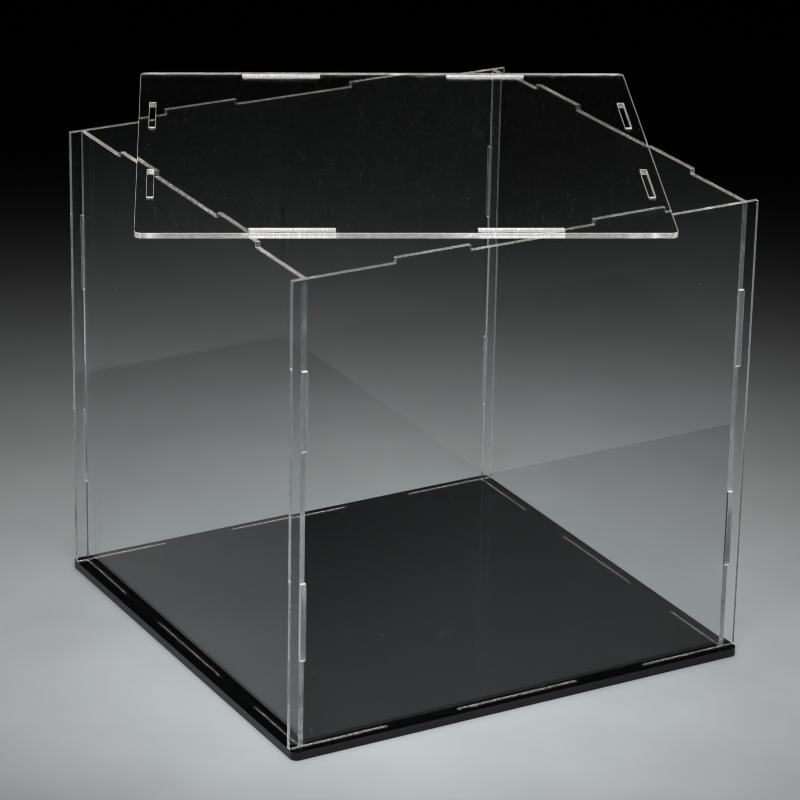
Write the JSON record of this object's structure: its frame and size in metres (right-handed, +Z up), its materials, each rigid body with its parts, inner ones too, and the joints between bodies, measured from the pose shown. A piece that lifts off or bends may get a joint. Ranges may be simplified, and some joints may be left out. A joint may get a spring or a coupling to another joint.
{
  "type": "display case",
  "caption": "Square clear display case on a black base, whose sheet walls lock by tabs and slots, with a loose slotted lid lying askew on top.",
  "frame": {"origin": "middle of the base's underside", "axes": "+Z up, +X to the right along the front panel, so the front panel faces -Y"},
  "size_m": [0.371, 0.3696, 0.273],
  "materials": {
    "black_acrylic": "polished black acrylic sheet",
    "clear_acrylic": "polished clear acrylic sheet with frosted laser-cut edges"
  },
  "bodies": {
    "base": {"base": "black_acrylic"},
    "walls": {"front_panel": "clear_acrylic", "back_panel": "clear_acrylic", "left_panel": "clear_acrylic", "right_panel": "clear_acrylic"},
    "lid": {"lid": "clear_acrylic"}
  },
  "joints": [
    {"name": "walls_lift", "type": "slide", "parent": "base", "child": "walls", "axis": [0, 0, 1], "range_m": [0, 0.28]},
    {"name": "lid_lift", "type": "slide", "parent": "walls", "child": "lid", "axis": [0, 0, 1], "range_m": [0, 0.15]}
  ]
}
